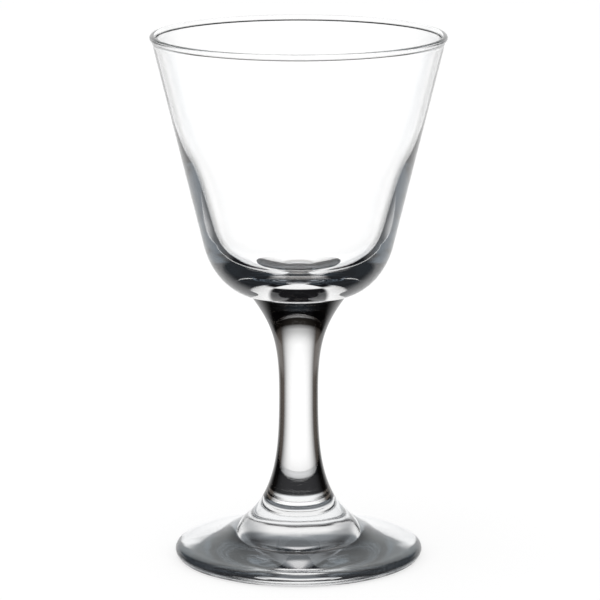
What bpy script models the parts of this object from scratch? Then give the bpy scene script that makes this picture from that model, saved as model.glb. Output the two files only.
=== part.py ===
"""Stemmed cocktail glass: a conical bowl, a waisted stem and a round foot.

The three gathers of glass are turned about the Z axis and meet at two seams.
Units are metres. The origin is the centre of the base, and +Z is up.
"""

import math

import bpy

# Heights, stacked from the table up
FOOT_HEIGHT = 0.015
STEM_LENGTH = 0.051
BOWL_HEIGHT = 0.064

# Bowl, outside: rolled bead, straight cone, rounded bottom
RIM_DIAMETER = 0.072
BEAD_THICKNESS = 0.0015
BEAD_OVERHANG = 0.0005
BEAD_START, BEAD_END, BEAD_STEP = 170, -51, 20
SHOULDER_DIAMETER = 0.0465
SHOULDER_HEIGHT = 0.0125
UPPER_SEAM_DIAMETER = 0.024
UNDERSIDE_ANGLE = math.radians(11)

# Bowl, inside: a thin wall above, a swelling wall and a flat-floored round cup below
RIM_WALL = 0.00079
THIN_WALL = 0.00093
THIN_WALL_HEIGHT = 0.0437
SWELL_WALL = 0.00265
SWELL_HEIGHT = 0.0214
SWELL_LEAN = math.radians(18.3)
BASE_THICKNESS = 0.0058

# Stem
WAIST_DIAMETER = 0.0096
WAIST_HEIGHT = 0.0266
STEM_TOP_ANGLE = math.radians(54)
LOWER_SEAM_DIAMETER = 0.0176
FLARE_ANGLE = math.radians(62)

# Foot
FOOT_DIAMETER = 0.0612
FOOT_EDGE = 0.0034
FOOT_TOP_SLOPE = math.radians(4)
TOP_ROUNDING = 0.0027
BASE_ROUNDING = 0.0015
RECESS_DIAMETER = 0.025
RECESS_DEPTH = 0.0010
RECESS_ANGLE = math.radians(25)

# The fused seams are modelled as a hairline between the solids
SEAM_GAP = 0.0003

# Fullness of the curves: the length of each handle as a share of its curve's span
SHOULDER_FULLNESS = 0.466
UNDERSIDE_FULLNESS = 0.27
CUP_FLOOR_FULLNESS = 0.835
CUP_SIDE_FULLNESS = 0.814
SWELL_LOW_FULLNESS = 0.514
SWELL_TOP_FULLNESS = 0.432
STEM_TOP_FULLNESS = 0.35
WAIST_UPPER_FULLNESS = 0.50
WAIST_LOWER_FULLNESS = 0.43
STEM_FLARE_FULLNESS = 0.29
FOOT_FLARE_FULLNESS = 0.30
FOOT_TOP_FULLNESS = 0.35
RECESS_SIDE_FULLNESS = 0.15
RECESS_MIDDLE_FULLNESS = 0.70

# Facets round the axis, and the edges that stay crisp
TURN_STEPS = 48
CRISP_ANGLE = math.radians(35)

GLASS_COLOUR = (0.93, 0.96, 0.97, 1.0)
GLASS_ROUGHNESS = 0.02
GLASS_IOR = 1.52

LOWER_SEAM = FOOT_HEIGHT
UPPER_SEAM = LOWER_SEAM + STEM_LENGTH
RIM_TOP = UPPER_SEAM + BOWL_HEIGHT

# Handle length of a cubic curve that comes closest to a quarter of an ellipse
QUARTER_HANDLE = 0.5523
DOWN = -math.pi / 2
UP = math.pi / 2


def along(point, angle, length):
    """The point at a distance along a direction, with the angle up from +X."""
    return (point[0] + length * math.cos(angle), point[1] + length * math.sin(angle))


def span(a, b):
    return math.hypot(a[0] - b[0], a[1] - b[1])


def curve(start, start_handle, end_handle, end, pieces):
    """Points of a cubic curve from start to end, both ends included."""
    corners = (start, start_handle, end_handle, end)
    points = []
    for index in range(pieces + 1):
        t = index / pieces
        weights = ((1 - t) ** 3, 3 * t * (1 - t) ** 2, 3 * t * t * (1 - t), t ** 3)
        points.append(tuple(sum(w * c[axis] for w, c in zip(weights, corners)) for axis in (0, 1)))
    return points


def bowl_profile():
    """Cup floor, up the inner wall, over the bead and down the outside to the seam."""
    bead_radius = BEAD_THICKNESS / 2
    bead_centre = (RIM_DIAMETER / 2 - bead_radius, RIM_TOP - bead_radius)
    seat = UPPER_SEAM + SEAM_GAP / 2
    wall_top = (RIM_DIAMETER / 2 - BEAD_OVERHANG, RIM_TOP - BEAD_THICKNESS)
    shoulder = (SHOULDER_DIAMETER / 2, seat + SHOULDER_HEIGHT)
    seam_edge = (UPPER_SEAM_DIAMETER / 2, seat)
    lean = (wall_top[0] - shoulder[0]) / (wall_top[1] - shoulder[1])

    def inner_wall(height, wall):
        """The point of the inner wall at a height above the seat, for a wall of this thickness."""
        return (shoulder[0] + lean * (height - SHOULDER_HEIGHT) - wall, seat + height)

    rim_inside = inner_wall(wall_top[1] - seat, RIM_WALL)
    thin_end = inner_wall(THIN_WALL_HEIGHT, THIN_WALL)
    swell_end = inner_wall(SWELL_HEIGHT, SWELL_WALL)
    wall_angle = math.atan2(rim_inside[1] - thin_end[1], rim_inside[0] - thin_end[0])
    swell_angle = UP - SWELL_LEAN

    # The cup: its floor is level at the axis, and its side leans out at the top
    cup_floor = (0.0, seat + BASE_THICKNESS)
    points = curve(
        cup_floor,
        along(cup_floor, 0.0, CUP_FLOOR_FULLNESS * swell_end[0]),
        along(swell_end, swell_angle + math.pi, CUP_SIDE_FULLNESS * (SWELL_HEIGHT - BASE_THICKNESS)),
        swell_end,
        pieces=14,
    )

    # The swelling wall thins out upwards, and the thin wall runs straight to the bead
    reach = span(swell_end, thin_end)
    points += curve(
        swell_end,
        along(swell_end, swell_angle, SWELL_LOW_FULLNESS * reach),
        along(thin_end, wall_angle + math.pi, SWELL_TOP_FULLNESS * reach),
        thin_end,
        pieces=10,
    )[1:]
    points.append(rim_inside)

    # The bead, rolled from the inner wall over the top and down to its outer side
    for degrees in range(BEAD_START, BEAD_END, -BEAD_STEP):
        points.append(along(bead_centre, math.radians(degrees), bead_radius))

    # The outside: the straight cone, then the rounded bottom that comes in to the seam
    reach = span(shoulder, seam_edge)
    points.append(wall_top)
    points += curve(
        shoulder,
        along(shoulder, math.atan2(-1.0, -lean), SHOULDER_FULLNESS * reach),
        along(seam_edge, UNDERSIDE_ANGLE, UNDERSIDE_FULLNESS * reach),
        seam_edge,
        pieces=12,
    )
    points.append((0.0, seat))
    return points


def stem_profile():
    """Flat upper seam, in to the waist and out again to the flat lower seam."""
    top = (UPPER_SEAM_DIAMETER / 2, UPPER_SEAM - SEAM_GAP / 2)
    waist = (WAIST_DIAMETER / 2, LOWER_SEAM + WAIST_HEIGHT)
    bottom = (LOWER_SEAM_DIAMETER / 2, LOWER_SEAM + SEAM_GAP / 2)
    points = [(0.0, top[1])]
    reach = span(top, waist)
    points += curve(
        top,
        along(top, math.pi + STEM_TOP_ANGLE, STEM_TOP_FULLNESS * reach),
        along(waist, UP, WAIST_UPPER_FULLNESS * reach),
        waist,
        pieces=12,
    )
    reach = span(waist, bottom)
    points += curve(
        waist,
        along(waist, DOWN, WAIST_LOWER_FULLNESS * reach),
        along(bottom, math.pi - FLARE_ANGLE, STEM_FLARE_FULLNESS * reach),
        bottom,
        pieces=10,
    )[1:]
    points.append((0.0, bottom[1]))
    return points


def foot_profile():
    """Flat seam, down the flare, over the rounded edge and in along the recessed underside."""
    top = (LOWER_SEAM_DIAMETER / 2, LOWER_SEAM - SEAM_GAP / 2)
    widest = (FOOT_DIAMETER / 2, FOOT_EDGE / 2)
    edge_top = (widest[0] - TOP_ROUNDING, FOOT_EDGE)
    rest_outer = (widest[0] - BASE_ROUNDING, 0.0)
    rest_inner = (RECESS_DIAMETER / 2, 0.0)
    recess_middle = (0.0, RECESS_DEPTH)
    points = [(0.0, top[1])]
    reach = span(top, edge_top)
    points += curve(
        top,
        along(top, -FLARE_ANGLE, FOOT_FLARE_FULLNESS * reach),
        along(edge_top, math.pi - FOOT_TOP_SLOPE, FOOT_TOP_FULLNESS * reach),
        edge_top,
        pieces=14,
    )
    edge_handle = QUARTER_HANDLE * FOOT_EDGE / 2
    points += curve(
        edge_top,
        along(edge_top, -FOOT_TOP_SLOPE, QUARTER_HANDLE * TOP_ROUNDING),
        along(widest, UP, edge_handle),
        widest,
        pieces=5,
    )[1:]
    points += curve(
        widest,
        along(widest, DOWN, edge_handle),
        along(rest_outer, 0.0, QUARTER_HANDLE * BASE_ROUNDING),
        rest_outer,
        pieces=5,
    )[1:]
    # The flat resting ring, and inside it the shallow domed recess
    points += curve(
        rest_inner,
        along(rest_inner, math.pi - RECESS_ANGLE, RECESS_SIDE_FULLNESS * rest_inner[0]),
        along(recess_middle, 0.0, RECESS_MIDDLE_FULLNESS * rest_inner[0]),
        recess_middle,
        pieces=8,
    )
    return points


def glass_material():
    material = bpy.data.materials.new("clear_glass")
    material.use_nodes = True
    shader = material.node_tree.nodes["Principled BSDF"]
    shader.inputs["Base Color"].default_value = GLASS_COLOUR
    shader.inputs["Roughness"].default_value = GLASS_ROUGHNESS
    shader.inputs["Metallic"].default_value = 0.0
    shader.inputs["IOR"].default_value = GLASS_IOR
    shader.inputs["Transmission Weight"].default_value = 1.0
    return material


def turned(name, profile, material, collection):
    """A solid of revolution from a profile in the XZ plane that starts and ends on the axis."""
    outline = bpy.data.meshes.new(name + "_profile")
    vertices = [(radius, 0.0, height) for radius, height in profile]
    edges = [(index, index + 1) for index in range(len(vertices) - 1)]
    outline.from_pydata(vertices, edges, [])
    solid = bpy.data.objects.new(name, outline)
    collection.objects.link(solid)
    screw = solid.modifiers.new("turn", "SCREW")
    screw.axis = "Z"
    screw.angle = math.tau
    screw.steps = TURN_STEPS
    screw.render_steps = TURN_STEPS
    screw.use_merge_vertices = True
    screw.merge_threshold = 0.00001

    # The turned mesh replaces the profile, so that its crisp seam edges can be marked
    view_layer = bpy.context.view_layer
    view_layer.update()
    evaluated = solid.evaluated_get(view_layer.depsgraph)
    mesh = bpy.data.meshes.new_from_object(evaluated)
    mesh.name = name
    mesh.materials.append(material)
    mesh.shade_smooth()
    mesh.set_sharp_from_angle(angle=CRISP_ANGLE)
    solid.modifiers.clear()
    solid.data = mesh
    bpy.data.meshes.remove(outline)
    return solid


for existing in list(bpy.data.objects):
    bpy.data.objects.remove(existing, do_unlink=True)

glass_collection = bpy.data.collections.new("cocktail_glass")
bpy.context.scene.collection.children.link(glass_collection)
clear_glass = glass_material()
turned("bowl", bowl_profile(), clear_glass, glass_collection)
turned("stem", stem_profile(), clear_glass, glass_collection)
turned("foot", foot_profile(), clear_glass, glass_collection)
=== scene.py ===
"""Stemmed cocktail glass in clear glass: bowl, stem and foot, on a pale floor in soft studio light."""

import math

import bpy
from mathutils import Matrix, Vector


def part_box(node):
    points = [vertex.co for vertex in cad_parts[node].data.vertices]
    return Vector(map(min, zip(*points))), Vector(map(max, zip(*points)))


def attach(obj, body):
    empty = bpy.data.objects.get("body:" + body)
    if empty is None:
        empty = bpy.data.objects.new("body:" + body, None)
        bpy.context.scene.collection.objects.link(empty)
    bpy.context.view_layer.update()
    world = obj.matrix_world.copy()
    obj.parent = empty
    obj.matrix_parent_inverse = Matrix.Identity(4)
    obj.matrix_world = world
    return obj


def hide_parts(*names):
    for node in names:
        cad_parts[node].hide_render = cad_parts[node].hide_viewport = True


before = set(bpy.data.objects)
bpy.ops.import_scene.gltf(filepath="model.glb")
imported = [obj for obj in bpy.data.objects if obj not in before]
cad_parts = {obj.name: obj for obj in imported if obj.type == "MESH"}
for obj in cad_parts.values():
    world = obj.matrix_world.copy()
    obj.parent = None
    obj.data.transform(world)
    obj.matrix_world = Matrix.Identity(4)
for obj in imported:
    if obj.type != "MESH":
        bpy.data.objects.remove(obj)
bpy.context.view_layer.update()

# Bowl: the conical cup of clear glass, thin at the rim and heavy at its round bottom.
# It is pressed in a mould, its rim is melted into a bead with a flame, and its base is
# fused hot to the top of the stem.
upper_seam = (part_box("bowl")[0][2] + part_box("stem")[1][2]) / 2
lower_seam = (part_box("stem")[0][2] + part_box("foot")[1][2]) / 2
rim_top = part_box("bowl")[1][2]
rim_radius = 0.036
bead_radius = 0.00075
bead_overhang = 0.0005
bead_start = 170
bead_end = -50
bead_step = 5
shoulder_radius = 0.02325
shoulder_height = 0.0125
upper_seam_radius = 0.012
underside_angle = math.radians(11)
rim_wall = 0.00079
thin_wall = 0.00093
thin_wall_height = 0.0437
swell_wall = 0.00265
swell_height = 0.0214
swell_lean = math.radians(18.3)
base_thickness = 0.0058

# How far a curve keeps the direction of its end, as a share of the distance that it covers
cup_floor_fullness = 0.835
cup_wall_fullness = 0.814
swell_fullness = 0.514
thin_wall_fullness = 0.432
shoulder_fullness = 0.466
underside_fullness = 0.27

cup_pieces = 80
swell_pieces = 60
wall_pieces = 20
base_pieces = 80
turn_steps = 192
crisp_angle = math.radians(35)
weld_distance = 0.000002
ripple_fade = 0.004
bowl_ripple = {"Ripple Depth": 0.000004, "Ripple Length": 0.006, "Ripple Seed": 3.0}
glass_ior = 1.52
clear_colour = (1.0, 1.0, 1.0)
upright = math.pi / 2


def along(point, angle, length):
    """The point at a distance along a direction, with the angle up from level."""
    return (point[0] + length * math.cos(angle), point[1] + length * math.sin(angle))


def span(a, b):
    return math.hypot(a[0] - b[0], a[1] - b[1])


def straight(start, end, pieces):
    """Points of a straight stretch from start to end, both ends included."""
    shares = [index / pieces for index in range(pieces + 1)]
    return [tuple(a + (b - a) * share for a, b in zip(start, end)) for share in shares]


def curve(start, start_handle, end_handle, end, pieces):
    """Points of a cubic curve from start to end, both ends included."""
    corners = (start, start_handle, end_handle, end)
    points = []
    for index in range(pieces + 1):
        t = index / pieces
        weights = ((1 - t) ** 3, 3 * t * (1 - t) ** 2, 3 * t * t * (1 - t), t ** 3)
        points.append(tuple(sum(w * c[axis] for w, c in zip(weights, corners)) for axis in (0, 1)))
    return points


def bowl_profile():
    """Cup floor, up the inner wall, over the bead and down the outside to the seam."""
    bead_centre = (rim_radius - bead_radius, rim_top - bead_radius)
    wall_top = (rim_radius - bead_overhang, rim_top - 2 * bead_radius)
    shoulder = (shoulder_radius, upper_seam + shoulder_height)
    seam_edge = (upper_seam_radius, upper_seam)
    lean = (wall_top[0] - shoulder[0]) / (wall_top[1] - shoulder[1])

    def inner_wall(height, wall):
        """The point of the inner wall at a height above the seam, for a wall of this thickness."""
        return (shoulder[0] + lean * (height - shoulder_height) - wall, upper_seam + height)

    rim_inside = inner_wall(wall_top[1] - upper_seam, rim_wall)
    thin_end = inner_wall(thin_wall_height, thin_wall)
    swell_end = inner_wall(swell_height, swell_wall)
    cup_floor = (0.0, upper_seam + base_thickness)
    wall_angle = math.atan2(rim_inside[1] - thin_end[1], rim_inside[0] - thin_end[0])
    swell_angle = upright - swell_lean
    points = curve(
        cup_floor,
        along(cup_floor, 0.0, cup_floor_fullness * swell_end[0]),
        along(swell_end, swell_angle + math.pi, cup_wall_fullness * (swell_height - base_thickness)),
        swell_end,
        cup_pieces,
    )
    reach = span(thin_end, swell_end)
    points += curve(
        swell_end,
        along(swell_end, swell_angle, swell_fullness * reach),
        along(thin_end, wall_angle + math.pi, thin_wall_fullness * reach),
        thin_end,
        swell_pieces,
    )[1:]
    points += straight(thin_end, rim_inside, wall_pieces)[1:]
    for degrees in range(bead_start, bead_end - 1, -bead_step):
        points.append(along(bead_centre, math.radians(degrees), bead_radius))
    points += straight(wall_top, shoulder, wall_pieces)[:-1]
    reach = span(shoulder, seam_edge)
    points += curve(
        shoulder,
        along(shoulder, math.atan2(-1.0, -lean), shoulder_fullness * reach),
        along(seam_edge, underside_angle, underside_fullness * reach),
        seam_edge,
        base_pieces,
    )
    points.append((0.0, upper_seam))
    return points


def feed(tree, socket, value):
    """Links another node's output to a socket, or sets a plain value on it."""
    if isinstance(value, bpy.types.NodeSocket):
        tree.links.new(value, socket)
    else:
        socket.default_value = value


def new_node(tree, kind, inputs, **settings):
    """A node of this kind, with its settings made and its named inputs fed."""
    node = tree.nodes.new(kind)
    for name, value in settings.items():
        setattr(node, name, value)
    for name, value in inputs.items():
        feed(tree, node.inputs[name], value)
    return node


def math_node(tree, operation, *values):
    node = tree.nodes.new("ShaderNodeMath")
    node.operation = operation
    for socket, value in zip(node.inputs, values):
        feed(tree, socket, value)
    return node.outputs[0]


def turning_tree():
    """Nodes that turn a profile in the XZ plane about the Z axis into a closed smooth body."""
    tree = bpy.data.node_groups.new("turned glass", "GeometryNodeTree")
    inputs = [
        ("Profile", "Geometry"),
        ("Turn Steps", "Int"),
        ("Weld Distance", "Float"),
        ("Ripple Depth", "Float"),
        ("Ripple Length", "Float"),
        ("Ripple Seed", "Float"),
        ("Glass", "Material"),
    ]
    for name, kind in inputs:
        tree.interface.new_socket(name, in_out="INPUT", socket_type="NodeSocket" + kind)
    tree.interface.new_socket("Body", in_out="OUTPUT", socket_type="NodeSocketGeometry")
    given = tree.nodes.new("NodeGroupInput").outputs
    count = new_node(tree, "GeometryNodeAttributeDomainSize", {"Geometry": given["Profile"]})
    points = count.outputs["Point Count"]

    # A sheet with a row for each profile point and one column more than the steps of a turn
    columns = math_node(tree, "ADD", given["Turn Steps"], 1.0)
    sheet = new_node(
        tree,
        "GeometryNodeMeshGrid",
        {"Size X": 1.0, "Size Y": 1.0, "Vertices X": columns, "Vertices Y": points},
    )

    # Each row takes its profile point, turned by its column's share of a full turn
    place = tree.nodes.new("GeometryNodeInputPosition").outputs[0]
    split = new_node(tree, "ShaderNodeSeparateXYZ", {"Vector": place}).outputs
    last_row = math_node(tree, "SUBTRACT", points, 1.0)
    row = math_node(tree, "MULTIPLY", math_node(tree, "ADD", split["Y"], 0.5), last_row)
    sample = new_node(
        tree,
        "GeometryNodeSampleIndex",
        {"Geometry": given["Profile"], "Value": place, "Index": math_node(tree, "ROUND", row)},
        data_type="FLOAT_VECTOR",
    )
    angle = math_node(tree, "MULTIPLY", split["X"], -math.tau)
    turn = new_node(
        tree,
        "ShaderNodeVectorRotate",
        {"Vector": sample.outputs[0], "Angle": angle},
        rotation_type="Z_AXIS",
    )
    wrap = new_node(
        tree,
        "GeometryNodeSetPosition",
        {"Geometry": sheet.outputs["Mesh"], "Position": turn.outputs[0]},
    )
    weld = new_node(
        tree,
        "GeometryNodeMergeByDistance",
        {"Geometry": wrap.outputs[0], "Distance": given["Weld Distance"]},
    )

    # Slow hollows in the pressed surface, which stop short of the seams
    fineness = math_node(tree, "DIVIDE", 1.0, given["Ripple Length"])
    noise = new_node(
        tree,
        "ShaderNodeTexNoise",
        {"W": given["Ripple Seed"], "Scale": fineness, "Detail": 0.0},
        noise_dimensions="4D",
    )
    depth = math_node(tree, "MULTIPLY", given["Ripple Depth"], noise.outputs[0])
    for seam in (upper_seam, lower_seam):
        away = math_node(tree, "ABSOLUTE", math_node(tree, "SUBTRACT", split["Z"], seam))
        fade = new_node(
            tree,
            "ShaderNodeMapRange",
            {"Value": away, "From Max": ripple_fade},
            interpolation_type="SMOOTHSTEP",
        )
        depth = math_node(tree, "MULTIPLY", depth, fade.outputs[0])
    inward = new_node(
        tree,
        "ShaderNodeVectorMath",
        {
            "Vector": tree.nodes.new("GeometryNodeInputNormal").outputs[0],
            "Scale": math_node(tree, "MULTIPLY", depth, -1.0),
        },
        operation="SCALE",
    )
    press = new_node(
        tree,
        "GeometryNodeSetPosition",
        {"Geometry": weld.outputs[0], "Offset": inward.outputs[0]},
    )

    smooth = new_node(tree, "GeometryNodeSetShadeSmooth", {"Geometry": press.outputs[0]})
    realize = new_node(tree, "GeometryNodeRealizeInstances", {"Geometry": smooth.outputs[0]})
    finish = new_node(
        tree,
        "GeometryNodeSetMaterial",
        {"Geometry": realize.outputs[0], "Material": given["Glass"]},
    )
    new_node(tree, "NodeGroupOutput", {"Body": finish.outputs[0]})
    return tree


def clear_glass(name, roughness=0.0):
    material = bpy.data.materials.new(name)
    material.use_nodes = True
    shader = material.node_tree.nodes["Principled BSDF"]
    shader.inputs["Base Color"].default_value = (*clear_colour, 1.0)
    shader.inputs["Roughness"].default_value = roughness
    shader.inputs["IOR"].default_value = glass_ior
    shader.inputs["Transmission Weight"].default_value = 1.0
    return material


def plain_material(name):
    """A material with nothing but its output, and its node tree."""
    material = bpy.data.materials.new(name)
    material.use_nodes = True
    tree = material.node_tree
    tree.nodes.remove(tree.nodes["Principled BSDF"])
    return material, tree


def show(tree, shader):
    """Puts a shader node on the surface that a material covers."""
    tree.links.new(shader.outputs[0], tree.nodes["Material Output"].inputs["Surface"])


def in_scene(name, data):
    """A new object in the scene, with a mesh, a lamp or a camera as its data."""
    thing = bpy.data.objects.new(name, data)
    bpy.context.scene.collection.objects.link(thing)
    return thing


# Where two gathers of glass are fused there is no surface, so light goes straight on
joint_glass, joint_tree = plain_material("fused_joint")
show(joint_tree, joint_tree.nodes.new("ShaderNodeBsdfTransparent"))
turning = turning_tree()


def turned(name, profile, glass, seams, ripple):
    """A closed body turned from a profile, with the seam faces at the given heights fused."""
    outline = bpy.data.meshes.new(name + "_profile")
    rows = [(radius, 0.0, height) for radius, height in profile]
    outline.from_pydata(rows, [(index, index + 1) for index in range(len(rows) - 1)], [])
    piece = in_scene(name, outline)
    modifier = piece.modifiers.new("turn", "NODES")
    modifier.node_group = turning
    sizes = {"Turn Steps": turn_steps, "Weld Distance": weld_distance, "Glass": glass, **ripple}
    for socket in turning.interface.items_tree:
        if socket.in_out == "INPUT" and socket.name in sizes:
            modifier[socket.identifier] = sizes[socket.name]
    view_layer = bpy.context.view_layer
    view_layer.update()
    mesh = bpy.data.meshes.new_from_object(piece.evaluated_get(view_layer.depsgraph))
    mesh.name = name
    piece.modifiers.clear()
    piece.data = mesh
    bpy.data.meshes.remove(outline)
    mesh.materials.clear()
    mesh.materials.append(glass)
    mesh.materials.append(joint_glass)
    for face in mesh.polygons:
        level = all(abs(mesh.vertices[v].co.z - face.center.z) < weld_distance for v in face.vertices)
        fused = level and any(abs(face.center.z - seam) < weld_distance for seam in seams)
        face.material_index = 1 if fused else 0
    mesh.set_sharp_from_angle(angle=crisp_angle)
    return piece


bowl_glass = clear_glass("bowl_glass")
bowl = turned("glass_bowl", bowl_profile(), bowl_glass, [upper_seam], bowl_ripple)
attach(bowl, "root")
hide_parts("bowl")

# Stem: the solid waisted leg of clear glass between bowl and foot.
# It is pressed in a mould, flares at both ends and is fused hot to the bowl and the foot.
# Its colour is painted darker towards its outline, a painted shade that stands for the dark sides of a
# room, which its solid glass gathers.
waist_radius = 0.0048
waist_height = 0.0266
stem_top_angle = math.radians(54)
lower_seam_radius = 0.0088
flare_angle = math.radians(62)
stem_top_fullness = 0.35
waist_upper_fullness = 0.50
waist_lower_fullness = 0.43
stem_flare_fullness = 0.29
stem_pieces = 90
stem_ripple = {"Ripple Depth": 0.000004, "Ripple Length": 0.006, "Ripple Seed": 5.0}
painted_edge_shade_start = 0.04
painted_edge_shade_end = 0.37
painted_edge_shade_colour = (0.012, 0.009, 0.007)


def stem_profile():
    """Flat upper seam, in to the waist and out again to the flat lower seam."""
    top = (upper_seam_radius, upper_seam)
    waist = (waist_radius, lower_seam + waist_height)
    bottom = (lower_seam_radius, lower_seam)
    points = [(0.0, upper_seam)]
    reach = span(top, waist)
    points += curve(
        top,
        along(top, math.pi + stem_top_angle, stem_top_fullness * reach),
        along(waist, upright, waist_upper_fullness * reach),
        waist,
        stem_pieces,
    )
    reach = span(waist, bottom)
    points += curve(
        waist,
        along(waist, -upright, waist_lower_fullness * reach),
        along(bottom, math.pi - flare_angle, stem_flare_fullness * reach),
        bottom,
        stem_pieces,
    )[1:]
    points.append((0.0, lower_seam))
    return points


def rising(tree, value, start, end):
    """Rises from 0 to 1 while the value goes from start to end."""
    share = new_node(tree, "ShaderNodeMapRange", {"Value": value, "From Min": start, "From Max": end})
    return share.outputs[0]


def tone_ramp(tree, value, start, end, stops):
    """A tone that follows a value through stops, each a place between start and end and its tone."""
    ramp = new_node(tree, "ShaderNodeValToRGB", {"Fac": rising(tree, value, start, end)})
    ramp.color_ramp.interpolation = "EASE"
    points = ramp.color_ramp.elements
    while len(points) < len(stops):
        points.new(0.5)
    for point, (place, tone) in zip(points, stops):
        point.position = (place - start) / (end - start)
        point.color = (*tone, 1.0)
    return ramp.outputs["Color"]


stem_glass = clear_glass("stem_glass")
stem_tree = stem_glass.node_tree
# Painted shade: the stem's colour goes from clear to near black as its surface turns edge-on
facing = stem_tree.nodes.new("ShaderNodeLayerWeight").outputs["Facing"]
painted_edge_shade_stops = [(painted_edge_shade_start, clear_colour), (painted_edge_shade_end, painted_edge_shade_colour)]
stem_colour_with_painted_edge_shade = tone_ramp(stem_tree, facing, 0.0, 1.0, painted_edge_shade_stops)
stem_tree.links.new(stem_colour_with_painted_edge_shade, stem_tree.nodes["Principled BSDF"].inputs["Base Color"])
stem = turned("glass_stem", stem_profile(), stem_glass, [upper_seam, lower_seam], stem_ripple)
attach(stem, "root")
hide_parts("stem")

# Foot: the round base of clear glass, with a flared neck, a rounded edge and a recessed middle below.
# It is pressed in a mould, which leaves it wavy and very slightly rough, and stands on the broad
# flat ring round the recess.
foot_radius = 0.0306
foot_edge = 0.0034
foot_top_slope = math.radians(4)
top_rounding = 0.0027
base_rounding = 0.0015
recess_radius = 0.0125
recess_depth = 0.0010
recess_angle = math.radians(25)
neck_fullness = 0.30
slope_fullness = 0.35
quarter_fullness = 0.5523
recess_edge_fullness = 0.15
recess_middle_fullness = 0.70
neck_pieces = 90
edge_pieces = 24
ring_pieces = 40
recess_pieces = 60
foot_ripple = {"Ripple Depth": 0.00008, "Ripple Length": 0.005, "Ripple Seed": 7.0}
foot_roughness = 0.07


def foot_profile():
    """Flat seam, down the flare, over the rounded edge and in along the underside."""
    top = (lower_seam_radius, lower_seam)
    widest = (foot_radius, foot_edge / 2)
    edge_top = (foot_radius - top_rounding, foot_edge)
    rest_outer = (foot_radius - base_rounding, 0.0)
    rest_inner = (recess_radius, 0.0)
    recess_middle = (0.0, recess_depth)
    points = [(0.0, lower_seam)]
    reach = span(top, edge_top)
    points += curve(
        top,
        along(top, -flare_angle, neck_fullness * reach),
        along(edge_top, math.pi - foot_top_slope, slope_fullness * reach),
        edge_top,
        neck_pieces,
    )
    edge_handle = quarter_fullness * foot_edge / 2
    points += curve(
        edge_top,
        along(edge_top, -foot_top_slope, quarter_fullness * top_rounding),
        along(widest, upright, edge_handle),
        widest,
        edge_pieces,
    )[1:]
    points += curve(
        widest,
        along(widest, -upright, edge_handle),
        along(rest_outer, 0.0, quarter_fullness * base_rounding),
        rest_outer,
        edge_pieces,
    )[1:]
    points += straight(rest_outer, rest_inner, ring_pieces)[1:-1]
    points += curve(
        rest_inner,
        along(rest_inner, math.pi - recess_angle, recess_edge_fullness * recess_radius),
        along(recess_middle, 0.0, recess_middle_fullness * recess_radius),
        recess_middle,
        recess_pieces,
    )
    return points


foot_glass = clear_glass("foot_glass", foot_roughness)
foot = turned("glass_foot", foot_profile(), foot_glass, [lower_seam], foot_ripple)
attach(foot, "root")
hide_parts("foot")

# Floor: a plain pale table, a hair below the glass and wide enough to fill the view.
# It is part matt, which keeps a faint shadow of the glass, and part glowing, which keeps
# the rest of it as white as the background.
floor_half = 4.0
floor_drop = 0.00002
floor_tone = (0.98, 0.98, 0.98)
floor_glow = 0.7
floor_mesh = bpy.data.meshes.new("floor")
sides = [(-1, -1), (1, -1), (1, 1), (-1, 1)]
floor_corners = [(floor_half * x, floor_half * y, -floor_drop) for x, y in sides]
floor_mesh.from_pydata(floor_corners, [], [tuple(range(len(sides)))])
floor = in_scene("floor", floor_mesh)
pale, pale_tree = plain_material("pale_floor")
matt = new_node(pale_tree, "ShaderNodeBsdfDiffuse", {"Color": (*floor_tone, 1.0)})
glowing = pale_tree.nodes.new("ShaderNodeEmission")
blend = new_node(pale_tree, "ShaderNodeMixShader", {"Fac": floor_glow})
pale_tree.links.new(matt.outputs[0], blend.inputs[1])
pale_tree.links.new(glowing.outputs[0], blend.inputs[2])
show(pale_tree, blend)
floor_mesh.materials.append(pale)
floor.visible_transmission = False
floor.visible_glossy = False

# Contact shade: a glowing disc that stands for the table under the foot, which only light inside the glass
# finds.
# Its glow holds a painted shadow, dark in the middle, and painted light, pale further out behind the axis,
# and it shows other painted tones to light that the glass has mirrored more often.
shade_radius = 0.030
shade_steps = 96
shade_drop = 0.00001
shade_turn = 0.006
near_dark = 0.016
near_pale = 0.019
far_dark = 0.020
far_pale = 0.023
beside_angle = math.radians(75)
in_line_angle = math.radians(40)
# Tones of the glow: a painted shadow, painted light, and a painted dim light for light mirrored many times
painted_shadow_tone = (0.036, 0.036, 0.038)
painted_light_tone = (0.96, 0.97, 0.98)
painted_dim_light_tone = (0.30, 0.33, 0.36)


def tone_mix(tree, share, first, second):
    """The first tone where the share is 0 and the second where it is 1."""
    node = new_node(tree, "ShaderNodeMix", {}, data_type="RGBA")
    sockets = {socket.identifier: socket for socket in (*node.inputs, *node.outputs)}
    feed(tree, sockets["Factor_Float"], share)
    for name, tone in (("A_Color", first), ("B_Color", second)):
        feed(tree, sockets[name], (*tone, 1.0) if isinstance(tone, tuple) else tone)
    return sockets["Result_Color"]


def mirrored_over(tree, times):
    """1 for light that the glass has mirrored more than this many times, and 0 for the rest."""
    depth = tree.nodes.new("ShaderNodeLightPath").outputs["Glossy Depth"]
    return math_node(tree, "GREATER_THAN", depth, times + 0.5)


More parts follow.
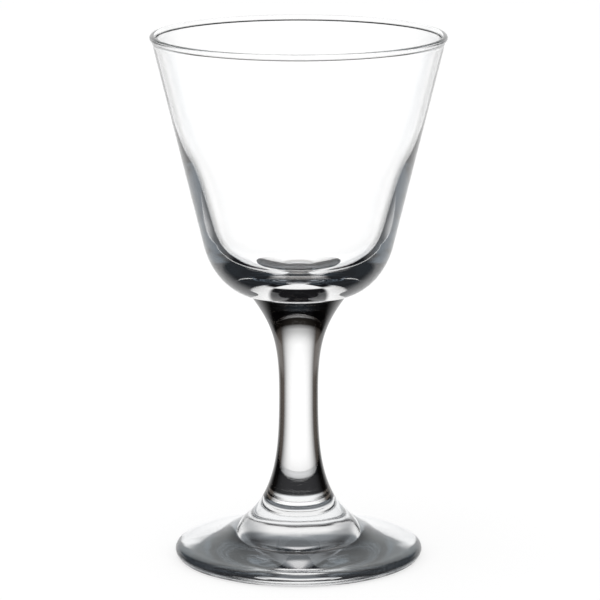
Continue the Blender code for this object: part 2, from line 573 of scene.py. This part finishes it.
shade_mesh = bpy.data.meshes.new("contact_shade")
shade_angles = [math.tau * index / shade_steps for index in range(shade_steps)]
shade_rim = [along((0.0, 0.0), angle, shade_radius) for angle in shade_angles]
shade_mesh.from_pydata([(x, y, -shade_drop) for x, y in shade_rim], [], [tuple(range(shade_steps))])
shade = in_scene("contact_shade", shade_mesh)
painted_shade_table, dim_tree = plain_material("painted_shade_table")
table_place = dim_tree.nodes.new("ShaderNodeTexCoord").outputs["Object"]
table_side = new_node(dim_tree, "ShaderNodeSeparateXYZ", {"Vector": table_place}).outputs
axis_reach = new_node(dim_tree, "ShaderNodeVectorMath", {"Vector": table_place}, operation="LENGTH")
from_axis = axis_reach.outputs["Value"]
table_turn = math_node(dim_tree, "ARCTAN2", table_side["X"], table_side["Y"])
behind = rising(dim_tree, table_side["Y"], -shade_turn, 0.0)
in_line = rising(dim_tree, math_node(dim_tree, "ABSOLUTE", table_turn), beside_angle, in_line_angle)
near_stops = [(near_dark, painted_shadow_tone), (near_pale, painted_light_tone)]
far_stops = [(far_dark, painted_shadow_tone), (far_pale, painted_light_tone)]
near_painted_shadow_ring = tone_ramp(dim_tree, from_axis, 0.0, shade_radius, near_stops)
far_painted_shadow_ring = tone_ramp(dim_tree, from_axis, 0.0, shade_radius, far_stops)
# Painted shadow in front of the axis and in the middle, painted light further out behind it
straight_table_shade = tone_mix(dim_tree, behind, painted_shadow_tone, near_painted_shadow_ring)
mirrored_table_shade = tone_mix(dim_tree, in_line, painted_shadow_tone, far_painted_shadow_ring)
deep_table_shade = tone_mix(dim_tree, behind, painted_dim_light_tone, painted_shadow_tone)
painted_table_light_and_shade = tone_mix(dim_tree, mirrored_over(dim_tree, 1), straight_table_shade, mirrored_table_shade)
painted_table_light_and_shade = tone_mix(dim_tree, mirrored_over(dim_tree, 3), painted_table_light_and_shade, deep_table_shade)
# The disc glows with its painted shadow and painted light, though it is no lamp
show(dim_tree, new_node(dim_tree, "ShaderNodeEmission", {"Color": painted_table_light_and_shade}))
shade_mesh.materials.append(painted_shade_table)
shade.visible_camera = False
shade.visible_diffuse = False
shade.visible_shadow = False

# Softbox: one wide soft lamp above the glass, a little in front and to the left.
# It gives the floor its light and the faint shadow, and isn't seen in the glass.
softbox_size = 1.0
softbox_watts = 3.0
softbox_place = (-0.2, -0.2, 1.2)
softbox_data = bpy.data.lights.new("softbox", "AREA")
softbox_data.size = softbox_size
softbox_data.energy = softbox_watts
softbox = in_scene("softbox", softbox_data)
softbox.location = softbox_place
softbox_tilts = [math.atan2(softbox_place[axis], softbox_place[2]) for axis in (1, 0)]
softbox.rotation_euler = (*softbox_tilts, 0.0)
softbox.visible_glossy = False
softbox.visible_transmission = False

# Studio: a white room for plain light, in which the glass stands before a lit white panel.
# Light that the glass has mirrored finds dark sides, dim cards and a dark table as well,
# which gives clear glass its dark bands.
white = (1.0, 1.0, 1.0)
black = (0.0, 0.0, 0.0)
world = bpy.data.worlds.new("studio")
bpy.context.scene.world = world
world.use_nodes = True
studio = world.node_tree
ray = studio.nodes.new("ShaderNodeLightPath").outputs
towards = studio.nodes.new("ShaderNodeTexCoord").outputs["Generated"]
direction = new_node(studio, "ShaderNodeSeparateXYZ", {"Vector": towards}).outputs
elevation = math_node(studio, "DEGREES", math_node(studio, "ARCSINE", direction["Z"]))
azimuth = math_node(studio, "DEGREES", math_node(studio, "ARCTAN2", direction["X"], direction["Y"]))
off_axis = math_node(studio, "ABSOLUTE", azimuth)


def by_height(*stops):
    """A tone that follows the degrees above level."""
    return tone_ramp(studio, elevation, -90, 90, stops)


def by_side(*stops):
    """A tone that follows the degrees to either side of straight behind the glass."""
    return tone_ramp(studio, off_axis, 0, 180, stops)


def mixed(share, first, second):
    return tone_mix(studio, share, first, second)


# Light that passes straight through finds the panel, a grey strip of the table and the dark ceiling.
# Each surface of the glass passes a little less than it gets, which the panel makes up for.
pale_grey = (0.64, 0.64, 0.64)
mid_grey = (0.50, 0.49, 0.48)
grey = (0.38, 0.38, 0.38)
ceiling = (0.04, 0.035, 0.03)
surface_gain = 1.06
open_light = by_height(
    (-80, white), (-74, grey), (-66, mid_grey), (-60, white),
    (2, white), (17, pale_grey), (21, grey), (25, ceiling),
)
gain = math_node(studio, "POWER", surface_gain, ray["Transmission Depth"])
passed = new_node(studio, "ShaderNodeVectorMath", {"Vector": open_light, "Scale": gain}, operation="SCALE")

# Light mirrored once finds the panel, with a dark gap across it, and dim cards at the sides
lit_top = (0.80, 0.80, 0.81)
dim_wall = (0.27, 0.29, 0.31)
dark_wall = (0.15, 0.16, 0.17)
flag = (0.006, 0.006, 0.007)
card = (0.24, 0.30, 0.35)
high_card = (0.42, 0.45, 0.48)
panel = by_height(
    (-26, white), (-22, flag), (-5, flag), (-2, white), (14, white),
    (22, dim_wall), (32, dark_wall), (46, dark_wall), (56, lit_top),
)
wings = by_height(
    (-31, flag), (-21, white), (-5, white), (1, dim_wall), (16, dark_wall), (26, flag), (56, dim_wall),
)
cards = by_height(
    (-45, card), (-37, flag), (-30, flag), (-26, card), (-21, card), (-16, flag), (-5, flag),
    (3, high_card), (13, high_card), (26, dim_wall),
)
panel_share = mixed(
    by_height((-5, black), (-2, white)),
    by_side((16, white), (20, black)),
    by_side((12, white), (34, black)),
)
once_light = mixed(panel_share, wings, panel)
once_light = mixed(by_side((34, white), (48, black)), cards, once_light)
once_light = mixed(by_side((68, white), (86, black)), flag, once_light)

# The outside of the glass mirrors the panel, the table beside the glass and a light overhead
overhead = (0.96, 1.0, 1.0)
beside_light = mixed(
    by_height((-34, black), (-29, white), (-19, white), (-15, black)),
    by_side((30, white), (60, flag)),
    by_side((75, white), (95, flag)),
)
outer_light = mixed(
    by_height((12, black), (20, white), (42, white), (60, black)),
    beside_light,
    by_side((18, overhead), (38, flag)),
)
entered = math_node(studio, "GREATER_THAN", ray["Transmission Depth"], 0.5)
once_light = mixed(entered, outer_light, once_light)

# Light mirrored again and again finds a strip of the panel, dark sides and a dim band of the room
room = (0.09, 0.115, 0.14)
far_flag = (0.020, 0.022, 0.025)
room_band = by_height((0, far_flag), (11, room), (27, room), (38, far_flag))
room_share = mixed(mirrored_over(studio, 5), black, by_side((74, black), (98, white)))
strip_share = mixed(
    by_height((26, black), (38, white)),
    by_side((12, white), (24, black)),
    by_side((26, white), (50, black)),
)
strip_light = mixed(mirrored_over(studio, 3), white, room)
table_share = mixed(mirrored_over(studio, 2), by_height((-54, white), (-46, black)), black)
again_light = mixed(room_share, far_flag, room_band)
again_light = mixed(strip_share, again_light, strip_light)
again_light = mixed(table_share, again_light, white)

# The camera and the matt floor see the plain white room
mirrored_light = mixed(mirrored_over(studio, 1), once_light, again_light)
in_glass = mixed(mirrored_over(studio, 0), passed.outputs[0], mirrored_light)
plain = math_node(studio, "MAXIMUM", ray["Is Camera Ray"], ray["Is Diffuse Ray"])
studio.links.new(mixed(plain, in_glass, white), studio.nodes["Background"].inputs["Color"])

# Camera: at the height and distance from which the photograph looks slightly down on the glass.
# Its long lens shows the rim and the foot at nearly the same scale.
sensor_width = 36.0
lens_length = 216.13
camera_place = (0.00034, -0.86317, 0.24924)
look_down = 0.211
camera_data = bpy.data.cameras.new("camera")
camera_data.sensor_width = sensor_width
camera_data.lens = lens_length
camera = in_scene("camera", camera_data)
camera.location = camera_place
camera.rotation_euler = (upright - look_down, 0.0, 0.0)
bpy.context.scene.camera = camera
bpy.context.scene.view_settings.view_transform = "Standard"

# Light crosses and mirrors in the glass many times before it leaves
bpy.context.scene.cycles.max_bounces = 32
bpy.context.scene.cycles.glossy_bounces = 24
bpy.context.scene.cycles.transmission_bounces = 32
bpy.context.scene.cycles.transparent_max_bounces = 32
